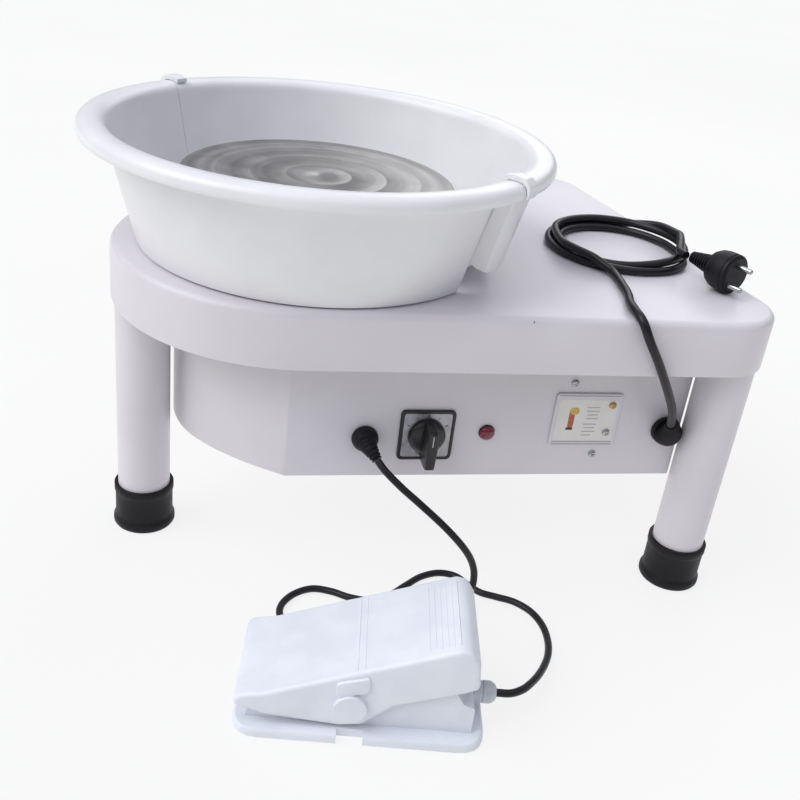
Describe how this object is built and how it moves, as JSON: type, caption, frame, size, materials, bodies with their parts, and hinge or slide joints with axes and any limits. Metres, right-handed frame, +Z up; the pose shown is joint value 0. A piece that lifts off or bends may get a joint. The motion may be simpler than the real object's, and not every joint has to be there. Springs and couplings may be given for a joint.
{
  "type": "pottery wheel",
  "caption": "Electric pottery wheel: low casing on legs, aluminium wheel head in a split splash basin, panel with switch, coiled mains lead and a rocking foot pedal.",
  "frame": {"origin": "on the floor, under the middle of the object's box without its cords", "axes": "+Z up, +Y from the control panel towards the back, +X from the round nose towards the straight end"},
  "size_m": [0.6224, 0.6335, 0.4175],
  "materials": {
    "painted_steel": "satin white-grey powder coat",
    "basin_plastic": "smooth moulded",
    "pedal_plastic": "fine moulded",
    "wheel_aluminium": "turned",
    "bright_steel": "zinc plated",
    "black_rubber": "matt",
    "black_plastic": "satin",
    "grey_nylon": "satin",
    "switch_face": "brushed plate with a black border",
    "red_lens": "gloss",
    "motor_enamel": "satin",
    "circuit_board": "solder resist",
    "label_plate": "printed blank plate"
  },
  "bodies": {
    "machine": {"table_casing": "painted_steel", "lower_case": "painted_steel", "bottom_plate": "painted_steel", "leg_nose": "painted_steel", "leg_front": "painted_steel", "leg_rear": "painted_steel", "pedal_base": "pedal_plastic", "heat_sink": "wheel_aluminium", "upper_bearing": "bright_steel", "lower_bearing": "bright_steel", "motor_bracket": "bright_steel", "pedal_pin": "bright_steel", "panel_screw_1": "bright_steel", "panel_screw_2": "bright_steel", "panel_screw_3": "bright_steel", "panel_screw_4": "bright_steel", "mains_plug_pin_1": "bright_steel", "mains_plug_pin_2": "bright_steel", "foot_nose": "black_rubber", "foot_front": "black_rubber", "foot_rear": "black_rubber", "drive_belt": "black_rubber", "mains_boot": "black_rubber", "pedal_boot": "black_rubber", "mains_cord": "black_rubber", "mains_cord_coil": "black_rubber", "mains_plug": "black_rubber", "pedal_cord": "black_rubber", "pedal_pad_1": "black_rubber", "pedal_pad_2": "black_rubber", "pedal_pad_3": "black_rubber", "pedal_pad_4": "black_rubber", "switch_body": "black_plastic", "lamp_bezel": "black_plastic", "pedal_sensor": "black_plastic", "pedal_gland": "grey_nylon", "switch_plate": "switch_face", "lamp_lens": "red_lens", "motor": "motor_enamel", "bearing_housing": "motor_enamel", "control_board": "circuit_board", "rating_plate": "label_plate"},
    "wheel": {"wheel_head": "wheel_aluminium", "wheel_hub": "motor_enamel", "spindle": "bright_steel", "driven_pulley": "wheel_aluminium"},
    "motor_rotor": {"motor_pulley": "wheel_aluminium", "motor_shaft": "bright_steel"},
    "switch_handle": {"switch_knob": "black_plastic", "switch_shaft": "bright_steel"},
    "pedal_tread": {"pedal_treadle": "pedal_plastic"},
    "basin_front_half": {"basin_front": "basin_plastic"},
    "basin_back_half": {"basin_back": "basin_plastic", "basin_clip_front": "basin_plastic", "basin_clip_rear": "basin_plastic"}
  },
  "joints": [
    {"name": "wheel_spin", "type": "hinge", "parent": "machine", "child": "wheel", "pos_m": [-0.09991, 0.03417, 0.3], "axis": [0, 0, 1], "continuous": true},
    {"name": "motor_spin", "type": "hinge", "parent": "machine", "child": "motor_rotor", "pos_m": [0.08709, 0.06617, 0.15], "axis": [0, 0, 1], "continuous": true},
    {"name": "switch_turn", "type": "hinge", "parent": "machine", "child": "switch_handle", "pos_m": [0.00229, -0.07993, 0.1608], "axis": [0, -1, 0], "range_deg": [-60, 60]},
    {"name": "pedal_tilt", "type": "hinge", "parent": "machine", "child": "pedal_tread", "pos_m": [-0.07888, -0.24392, 0.035], "axis": [0.1822, 0.9833, 0], "range_deg": [0, 10]},
    {"name": "basin_front_slide", "type": "slide", "parent": "machine", "child": "basin_front_half", "axis": [-0.7314, -0.682, 0], "range_m": [0, 0.25]},
    {"name": "basin_back_slide", "type": "slide", "parent": "machine", "child": "basin_back_half", "axis": [0.7314, 0.682, 0], "range_m": [0, 0.07]}
  ],
  "couplings": [
    {"joint": "motor_spin", "follows": "wheel_spin", "ratio": 4}
  ]
}
